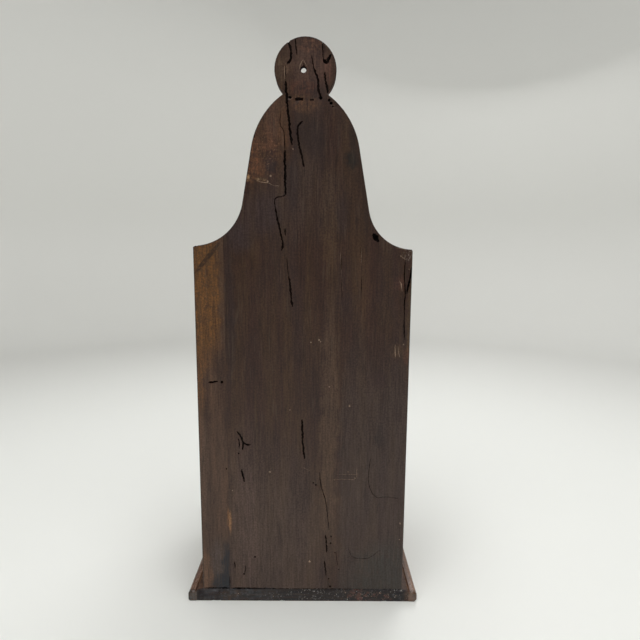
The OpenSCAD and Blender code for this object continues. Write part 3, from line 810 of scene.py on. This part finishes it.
baseDamage = {
    "chips": [(88, -0.4, 7, 2, 1.1), (45, -0.3, 5, 1.6, 0.9), (20, -0.4, 4, 1.4, 0.8), (-42, -0.4, 6, 1.8, 1),
              (-84, -0.3, 4, 2, 0.9), (-56, 14, 3, 2, 0.8), (64, 13.8, 4, 1.6, 0.7)],
    "specks": [(-44, 9.8, 1.1), (-46.5, 4.2, 0.9), (-79.5, 9.6, 1.6), (-88, 8.2, 1.2), (-71, 5.8, 0.9),
               (-88.4, 4.6, 1.1), (-60, 8.4, 0.9), (-33, 6.4, 0.8), (66, 8.2, 0.9), (30, 5.2, 0.8),
               (-96, 6.6, 1), (-52, 6.6, 0.8)],
}
footDamage = {
    "left": {"rubs": [(-123, -5.5, 10, 9, 10)]},
    "right": {"rubs": [(123.6, -6.2, 10, 8, 10)]},
}


# Damage to the other boards, with places across a face and up it from the board's lower end

crestDamage = {  # the front of the back board, above the lid
    "galleries": [mark(1.6, (-20, 452), (-19, 440), (-20.5, 428))],
    "holes": [(20, 478, 1.7), (14, 470, 1.4), (-12, 506, 1.6), (-18, 498, 1.3), (32, 420, 1.5),
              (38, 412, 1.3), (-30, 380, 1.6), (-24, 368, 1.3), (66, 346, 1.5), (4, 440, 1.4), (8, 448, 1.3)],
    "cracks": [mark(0.6, (16, 400), (15.4, 372), (16.4, 346))],
    "scuffs": [mark(0.8, (-3, 494), (-5, 486), (-4, 478)), mark(0.7, (30, 452), (24, 434))],
}
frontDamage = {
    "holes": [(61, 24, 1.5), (66, 37, 1.7), (57, 45, 1.4), (-80, 106, 1.6), (-85, 117, 1.4), (-20, 12, 1.7),
              (84, 196, 1.6), (78, 208, 1.4), (12, 249, 1.5), (-70, 20, 1.6), (-64, 31, 1.3)],
    "cracks": [mark(0.7, (-38, 268), (-37.4, 240), (-38.6, 206))],
    "scuffs": [mark(0.8, (-30, 168), (-12, 140), (4, 118)), mark(0.7, (40, 218), (56, 200)),
               mark(0.9, (-62, 78), (-54, 60)), mark(0.7, (20, 60), (48, 66))],
    "dents": [(30, 150, 3, 0.5, 2.2), (-48, 226, 2.4, 0.5, 3), (72, 92, 2, 0.5, 2.6), (-8, 40, 3.4, 0.5, 2)],
}
sideDamage = {
    "left": {
        "holes": [(64, 26, 1.7), (58, 38, 1.4), (66, 60, 1.5), (70, 74, 1.3), (-44, 30, 1.4),
                  (50, 282, 1.6), (60, 300, 1.4)],
        "cracks": [mark(0.7, (30, 1), (30.6, 34), (29.6, 70))],
        "scuffs": [mark(0.8, (-20, 200), (2, 182)), mark(0.7, (40, 140), (46, 112)),
                   mark(0.7, (-36, 96), (-14, 90))],
        "dents": [(8, 240, 2.4, 0.5, 2.8), (-24, 60, 3, 0.5, 2.2)],
    },
    "right": {
        "holes": [(-60, 22, 1.6), (-52, 30, 1.4), (-64, 48, 1.5), (40, 180, 1.5), (45, 192, 1.3),
                  (-58, 250, 1.6), (-66, 270, 1.4)],
        "cracks": [mark(0.6, (-20, 303), (-20.6, 284), (-21, 262))],
        "scuffs": [mark(0.8, (10, 150), (28, 132)), mark(0.7, (-40, 110), (-30, 84)),
                   mark(0.7, (0, 220), (18, 226))],
        "dents": [(15, 70, 2.6, 0.5, 2.6), (-35, 190, 2.2, 0.5, 3)],
    },
}
lidDamage = {  # heights run down the slope from the hinges
    "holes": [(88, 24, 1.5), (94, 33, 1.3), (-96, 100, 1.5), (-90, 108, 1.4), (-70, 118, 1.3), (60, 96, 1.4)],
    "cracks": [mark(0.6, (104, 62), (84, 62.6), (58, 61.8))],
    "scuffs": [mark(0.8, (-60, 52), (-24, 60), (8, 62)), mark(0.7, (30, 84), (52, 72)),
               mark(0.7, (-84, 30), (-66, 44)), mark(0.9, (-10, 112), (22, 116))],
    "dents": [(-30, 92, 3, 0.45, 2.4), (44, 40, 2.4, 0.45, 2.4), (70, 112, 2.6, 0.45, 2)],
}


# Cutters, laid out on the face towards the wall; widths and depths in mm, waves to a metre

wormTunnel = {
    "sides": 10, "step": 0.6, "taper": (0.4, 0.15),  # taper: share at the ends, and gain with each step
    "fullness": 0.53,  # radius as a share of the width
    "wander": [(0.3, 160), (0.22, 620)],  # reach to either side, and waves
    "sink": (0.35, 0.25, 300),  # mean and reach as shares of the radius, and waves
    "ragged": (0.7, 560),
}
grooveCut = {
    "step": 1.2, "taper": (0.3, 0.2), "proud": 0.4,
    "floor": 0.3,  # width at the bottom as a share of the width at the top
    "uneven": (0.6, 400), "wander": (0.35, 350),
}
flightHole = {"sides": 10, "proud": 0.5, "depth": 4, "slant": (0.4, 0.3), "uneven": 0.35}
speck = {"depth": 0.35, "roughness": 0.7}
# cracks and chips take the near-black painted shade on their cut faces; scratches, scuffs, dents and rubs
# take real marks
grooveKinds = {"cracks": (3.0, recessShadeIndex), "scratches": (0.3, paleIndex), "scuffs": (0.25, arrisIndex)}
chipKinds = {"chips": (0.6, recessShadeIndex), "dents": (0.6, faceIndex), "rubs": (0.1, faceIndex)}  # by roughness


def onBack(x, z, depth=0.0):
    return Vector((x, wallY - depth, z)) * mm


def roundOf(sides):
    turns = [2 * math.pi * j / sides for j in range(sides)]
    return [(math.cos(turn), math.sin(turn)) for turn in turns]


def endTaper(i, path, start, rate):
    # grows from start at either end of a path to 1
    return min(1, start + rate * min(i, len(path) - 1 - i))


def galleryCutter(gallery):
    # a worm's half-open tunnel with ragged sides, each noise read at a place of its own
    radius = gallery["width"] * wormTunnel["fullness"]
    path = smoothPath([onBack(x, z) for x, z in gallery["path"]], wormTunnel["step"] * mm)
    mean, reach, sinkWaves = wormTunnel["sink"]
    ragged, raggedWaves = wormTunnel["ragged"]
    sections = []
    for i, point in enumerate(path):
        taper = endTaper(i, path, *wormTunnel["taper"])
        wander = sum(aside * noise.noise(point * waves) for aside, waves in wormTunnel["wander"]) * mm
        sink = radius * (mean + reach * noise.noise(point * sinkWaves + Vector((7, 0, 0)))) * mm
        ring = []
        for across, out in roundOf(wormTunnel["sides"]):
            bite = 1 + ragged * noise.noise(point * raggedWaves + Vector((across * 0.9, 5, 0)))
            size = radius * bite * taper * mm
            ring.append((wander + size * across, size * out - sink))
        sections.append(ring)
    return asCutter(sweep(path, sections))


def grooveCutter(groove, depth, finishIndex):
    # a thin wedge that narrows with depth and at its ends, or to a tip
    path = smoothPath([onBack(x, z) for x, z in groove["path"]], grooveCut["step"] * mm)
    proud = grooveCut["proud"] * mm
    uneven, unevenWaves = grooveCut["uneven"]
    aside, asideWaves = grooveCut["wander"]
    sections = []
    for i, point in enumerate(path):
        taper = endTaper(i, path, *grooveCut["taper"])
        if "tip" in groove:
            taper = 1 - (1 - groove["tip"]) * i / (len(path) - 1)
        half = groove["width"] / 2 * mm * taper
        half *= 1 + uneven * noise.noise(point * unevenWaves)
        floor = half * grooveCut["floor"]
        wander = aside * mm * noise.noise(point * asideWaves)
        sections.append([(wander - half, proud), (wander + half, proud),
                         (wander + floor, -depth * mm), (wander - floor, -depth * mm)])
    return asCutter(sweep(path, sections), finishIndex)


def holeCutter(places):
    # flight holes, drilled a little aslant
    right, up = flightHole["slant"]
    shape = bmesh.new()
    for x, z, width in places:
        rings = []
        for middle in (onBack(x, z, -flightHole["proud"]), onBack(x + right, z + up, flightHole["depth"])):
            ring = []
            for j, (across, rise) in enumerate(roundOf(flightHole["sides"])):
                size = width / 2 * mm * (1 + flightHole["uneven"] * noise.noise(Vector((x, z, 3 * j))))
                ring.append(shape.verts.new(middle + Vector((size * across, 0, size * rise))))
            rings.append(ring)
        skinRings(shape, rings)
    return asCutter(shape)


def chipCutter(chips, roughness, finishIndex):
    shape = bmesh.new()
    for x, z, *size in chips:
        blob(shape, onBack(x, z), [value * mm for value in size], roughness)
    return asCutter(shape, finishIndex)


def speckCutter(places):
    chips = [(x, z, width / 2, speck["depth"], width / 2) for x, z, width in places]
    return chipCutter(chips, speck["roughness"], paleIndex)


def damageCutters(damage, turn=None):
    cutters = [galleryCutter(gallery) for gallery in damage.get("galleries", [])]
    for kind, (depth, finishIndex) in grooveKinds.items():
        cutters += [grooveCutter(groove, depth, finishIndex) for groove in damage.get(kind, [])]
    for kind, (roughness, finishIndex) in chipKinds.items():
        cutters += [chipCutter([chip], roughness, finishIndex) for chip in damage.get(kind, [])]
    for kind, maker in (("holes", holeCutter), ("specks", speckCutter)):
        if kind in damage:
            cutters.append(maker(damage[kind]))
    if turn:
        for cutter in cutters:
            cutter.data.transform(turn)
    return cutters


def onFace(nodeName, axis, degrees):
    # turns damage laid out on the back on to a board's outer face, with heights from the board's lower end
    turn = Matrix.Rotation(math.radians(degrees), 4, axis)
    out, up = turn @ Vector((0, 1, 0)), turn @ Vector((0, 0, 1))
    corners = [vert.co for vert in frame["nodes"][nodeName].data.vertices]
    face = max(corner.dot(out) for corner in corners) - wallY * mm
    foot = min(corner.dot(up) for corner in corners)
    return Matrix.Translation(out * face + up * foot) @ turn


# The back board and its glued strip

# ease and bite are in mm, and least is the flattest edge that is eased, in degrees
backCare = {"ease": 0.7, "nicks": 26, "bite": 0.8, "least": 25, "arris": "darkArris", "inside": "crest"}
stripCare = {**backCare, "nicks": 8}
hangingHole = next(mount for mount in frame["record"]["mounts"] if mount["name"] == "hanging_hole")
holeMiddle = Vector((hangingHole["pos_m"][0], 0, hangingHole["pos_m"][2]))
boreReach = 6 * mm  # the worn nail hole and its scar lie this near
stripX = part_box("back_strip")[0].x
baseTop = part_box("base_board")[1].z
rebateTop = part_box("left_side")[1].z + 0.2 * mm  # the sides' rebates in the back end just below this
touch = 0.1 * mm  # what counts as touching
margin = 1  # mm, what counts as on a face
boreWall = 0.6  # faces that look along the bore less than this are its walls


def backArris(edge):
    # the outline of the back, but not the glue joint, the nail hole or the joint with the base
    a, b = (vert.co for vert in edge.verts)
    if abs(a.y - b.y) > touch:
        return False
    if min(abs(a.x - stripX), abs(b.x - stripX)) < touch and abs(a.x - b.x) < touch:
        return False
    middle = (a + b) / 2
    if middle.z < baseTop + touch:
        return False
    if (Vector((middle.x, 0, middle.z)) - holeMiddle).length < boreReach:
        return False
    onWallSide = middle.y >= (wallY - margin) * mm
    return onWallSide or min(a.z, b.z) > rebateTop


def paintBoreShade(piece):
    # painted shade: the walls of the nail hole take the near-black recess finish
    for face in piece.data.polygons:
        out = Vector((face.center.x, 0, face.center.z)) - holeMiddle
        inBore = out.length < boreReach and abs(face.normal.y) < boreWall
        if inBore and face.material_index in (faceIndex, insideIndex):
            face.material_index = recessShadeIndex


def makeBack():
    cutters = damageCutters(backDamage) + damageCutters(crestDamage, onFace("back_board", "Z", 180))
    board = agedBoard("back_board", "back", backCare, cutters, backArris)
    paintBoreShade(board)
    agedBoard("back_strip", "strip", stripCare, damageCutters(stripDamage), backArris)
    print("back: galleries", len(backDamage["galleries"]), "cracks", len(backDamage["cracks"]))


# The box, base and lid

# long is the shortest edge that is eased, in mm
boxCare = {"ease": 0.6, "nicks": 10, "bite": 0.7, "least": 25, "long": 20, "inside": "dry"}
baseCare = {"ease": 0.5, "nicks": 14, "bite": 0.8, "least": 40, "long": 20}
railCare = {"ease": 0.35, "nicks": 10, "bite": 0.6, "least": 40, "long": 100}
lidCare = {**railCare, "long": 60, "inside": "dryLid"}


def baseArris(edge):
    # every long edge but the one under the back
    a, b = (vert.co for vert in edge.verts)
    underBack = min(a.y, b.y) > (wallY - margin) * mm and min(a.z, b.z) > baseTop - margin * mm
    return longArris(baseCare)(edge) and not underBack


def makeBoards():
    for side, degrees in (("left", 90), ("right", -90)):
        cutters = damageCutters(sideDamage[side], onFace(side + "_side", "Z", degrees))
        agedBoard(side + "_side", "box", boxCare, cutters)
        cutters = damageCutters(footDamage[side])
        agedBoard(side + "_base_moulding", "foot", baseCare, cutters)
    cutters = damageCutters(frontDamage, onFace("front_board", "Z", 180))
    agedBoard("front_board", "box", boxCare, cutters)
    agedBoard("hinge_rail", "lid", railCare)
    agedBoard("base_board", "base", baseCare, damageCutters(baseDamage), baseArris)
    agedBoard("front_base_moulding", "base", baseCare)
    cutters = damageCutters(lidDamage, onFace("lid_board", "X", 90 + lidSlope))
    agedBoard("lid_board", "lid", lidCare, cutters)
    print("box, base and lid done")


# Hinges and nails keep their solids, with softened edges

metalNodes = {
    "brass": ["left_rail_leaf", "right_rail_leaf", "left_lid_leaf", "right_lid_leaf",
              "left_hinge_pin", "right_hinge_pin", "rail_leaf_screws", "lid_leaf_screws"],
    "iron": ["front_nails", "base_nails", "rail_nails", "moulding_brads"],
}
metalEase = {"brass": 0.15, "iron": 0.3}  # mm
metalArris = 40  # degrees, what counts as an edge


def finishMetal():
    for finishName, names in metalNodes.items():
        for name in names:
            node = frame["nodes"][name]
            node.data.materials.clear()
            node.data.materials.append(finishes[finishName])
            node.modifiers.new("weld", "WELD").merge_threshold = weldGap
            ease = node.modifiers.new("ease", "BEVEL")
            ease.width = metalEase[finishName] * mm
            ease.segments = 2
            ease.limit_method = "ANGLE"
            ease.angle_limit = math.radians(metalArris)
            node.modifiers.new("even shading", "WEIGHTED_NORMAL").keep_sharp = True
    print("hinges and nails done")


# Floor, backdrop and light

studio = {
    "floorReach": 1.0, "wallReach": 1.5, "sweep": 0.6, "wallTop": 2.2,  # metres
    "drop": 0.05,  # mm, leaves the foot of the box clear of the floor
    "sides": 96, "bends": 12,  # facets round the floor and up its curve
    "floorPaint": (238, 239, 235), "wallPaint": (219, 219, 215), "rough": 0.6,
    "room": 0.06,  # light from all round
    "aim": (0, 0, 0.25),  # metres
    "lights": [  # place, size in metres, watts, seen in polish
        ((0.0, 0.3, 2.4), 2.0, 33, True),
        ((0.9, 1.2, 2.0), 1.2, 6.5, False),
        ((-1.0, 1.0, 1.9), 1.0, 3.7, False),
        ((-0.7, -1.3, 1.8), 1.4, 11.0, True),
    ],
}


def lathe(name, profile, finish):
    shape = bmesh.new()
    verts = [shape.verts.new((r, 0, z)) for r, z in profile]
    edges = [shape.edges.new(pair) for pair in zip(verts, verts[1:])]
    bmesh.ops.spin(shape, geom=verts + edges, cent=(0, 0, 0), axis=(0, 0, 1), angle=2 * math.pi,
                   steps=studio["sides"], use_merge=True)
    bmesh.ops.remove_doubles(shape, verts=shape.verts, dist=weldGap)  # one point at the middle
    bmesh.ops.recalc_face_normals(shape, faces=shape.faces)
    turned = pieceFrom(shape, name)
    turned.data.shade_smooth()
    turned.data.materials.append(finish)
    turned.location.z = -studio["drop"] * mm
    return turned


def makeFloor():
    finish, tree, shader = newFinish("pale_paint")
    away = lengthOf(tree, placeOf(tree))
    fade = spread(tree, away, 0.5 * studio["floorReach"], studio["wallReach"])
    colour = mixTones(tree, fade, studio["floorPaint"], studio["wallPaint"])
    setInputs(tree, shader, {"Base Color": colour, "Roughness": studio["rough"]})
    lathe("studio_floor", [(0.0, 0.0), (studio["floorReach"], 0.0)], finish)
    rise = [(studio["floorReach"], 0.0)]
    for i in range(studio["bends"] + 1):
        turn = math.radians(90 * i / studio["bends"])
        rise.append((studio["wallReach"] + studio["sweep"] * math.sin(turn),
                     studio["sweep"] * (1 - math.cos(turn))))
    rise.append((studio["wallReach"] + studio["sweep"], studio["wallTop"]))
    backdrop = lathe("studio_backdrop", rise, finish)
    backdrop.visible_glossy = False  # the room behind the camera is dim, so polish isn't washed out


def setLights():
    for place, size, watts, seen in studio["lights"]:
        lamp = bpy.data.lights.new("soft_box", "AREA")
        lamp.shape = "DISK"
        lamp.size = size
        lamp.energy = watts
        light = bpy.data.objects.new("soft_box", lamp)
        light.location = place
        aim = Vector(studio["aim"]) - Vector(place)
        light.rotation_euler = aim.to_track_quat("-Z", "Y").to_euler()
        light.visible_glossy = seen
        scene.collection.objects.link(light)
    world = bpy.data.worlds.new("room")
    world.use_nodes = True
    background = world.node_tree.nodes["Background"]
    setInputs(world.node_tree, background, {"Color": (1, 1, 1, 1), "Strength": studio["room"]})
    scene.world = world
    scene.view_settings.view_transform = "Standard"
    print("lights:", len(studio["lights"]))


setCamera()
makeBack()
makeBoards()
finishMetal()
makeFloor()
setLights()
print("scene ready")
